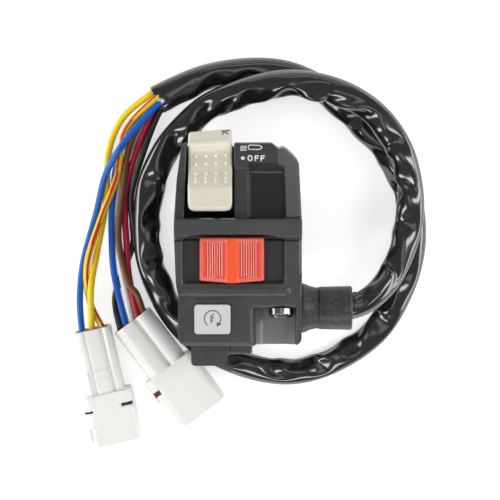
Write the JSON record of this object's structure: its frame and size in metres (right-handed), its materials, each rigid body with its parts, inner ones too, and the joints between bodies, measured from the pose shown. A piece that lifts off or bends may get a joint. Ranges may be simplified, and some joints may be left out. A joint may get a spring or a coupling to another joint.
{
  "type": "handlebar switch cluster",
  "caption": "Handlebar switch cluster with a tilting light lever, sliding engine stop, sprung start button, split clamp housing and a looped sleeve harness with plug connectors.",
  "frame": {"origin": "on the handlebar axis, midway along the housing", "axes": "+X along the handlebar towards the cable boot, +Y up the switch face from the start button to the light lever, +Z out of the switch face"},
  "size_m": [0.1324, 0.147, 0.0541],
  "materials": {
    "black_plastic": "fine textured",
    "plated_steel": "bright plated",
    "brass": "bright",
    "ivory_plastic": "satin",
    "natural_plastic": "plain",
    "copper": "bright",
    "brown_phenolic": "plain",
    "spring_steel": "polished",
    "red_plastic": "satin",
    "grey_plastic": "satin",
    "boot_rubber": "matt",
    "black_vinyl": "glossy and wrinkled",
    "blue_wire": "satin",
    "yellow_wire": "satin",
    "yellow_red_wire": "satin with a red stripe",
    "brown_wire": "satin",
    "black_wire": "satin",
    "crimson_wire": "satin",
    "white_wire": "satin",
    "white_nylon": "semi gloss",
    "seal_rubber": "matt",
    "dark_red_plastic": "satin"
  },
  "bodies": {
    "housing": {"upper_housing": "black_plastic", "lower_housing": "black_plastic", "front_clamp_screw": "plated_steel", "rear_clamp_screw": "plated_steel", "front_insert": "brass", "rear_insert": "brass", "light_contact_plate": "brown_phenolic", "light_terminals": "brass", "light_detent_spring": "spring_steel", "light_plate_screws": "plated_steel", "stop_contact_base": "brown_phenolic", "stop_terminals": "brass", "start_spring": "spring_steel", "start_contact_base": "brown_phenolic", "start_terminals": "brass", "start_base_screws": "plated_steel", "cable_boot": "boot_rubber", "harness_sleeve": "black_vinyl", "wire_blue_long": "blue_wire", "wire_yellow": "yellow_wire", "wire_yellow_red": "yellow_red_wire", "wire_brown": "brown_wire", "wire_black": "black_wire", "wire_crimson": "crimson_wire", "wire_blue_short": "blue_wire", "wire_white": "white_wire", "left_connector": "white_nylon", "left_connector_seal": "seal_rubber", "left_connector_pins": "brass", "right_connector": "white_nylon", "right_connector_seal": "seal_rubber", "right_connector_pins": "brass", "right_connector_retainer": "dark_red_plastic"},
    "light": {"light_lever": "ivory_plastic", "light_shaft": "plated_steel", "light_rotor": "natural_plastic", "light_bridge": "copper"},
    "stop": {"stop_slide": "red_plastic", "stop_carrier": "natural_plastic", "stop_bridge": "copper", "stop_detent_spring": "spring_steel"},
    "start": {"start_button": "grey_plastic", "start_bridge": "copper"}
  },
  "joints": [
    {"name": "light_tilt", "type": "hinge", "parent": "housing", "child": "light", "pos_m": [-0.0105, 0.021, 0.012], "axis": [-1, 0, 0], "range_deg": [0, 28], "deforming": ["light_detent_spring"]},
    {"name": "stop_shift", "type": "slide", "parent": "housing", "child": "stop", "axis": [1, 0, 0], "range_m": [-0.0036, 0.0036], "deforming": ["stop_detent_spring"]},
    {"name": "start_press", "type": "slide", "parent": "housing", "child": "start", "axis": [0, 0, -1], "range_m": [0, 0.0018], "stiffness_N_per_m": 400, "springref_m": -0.001, "deforming": ["start_spring"]}
  ]
}
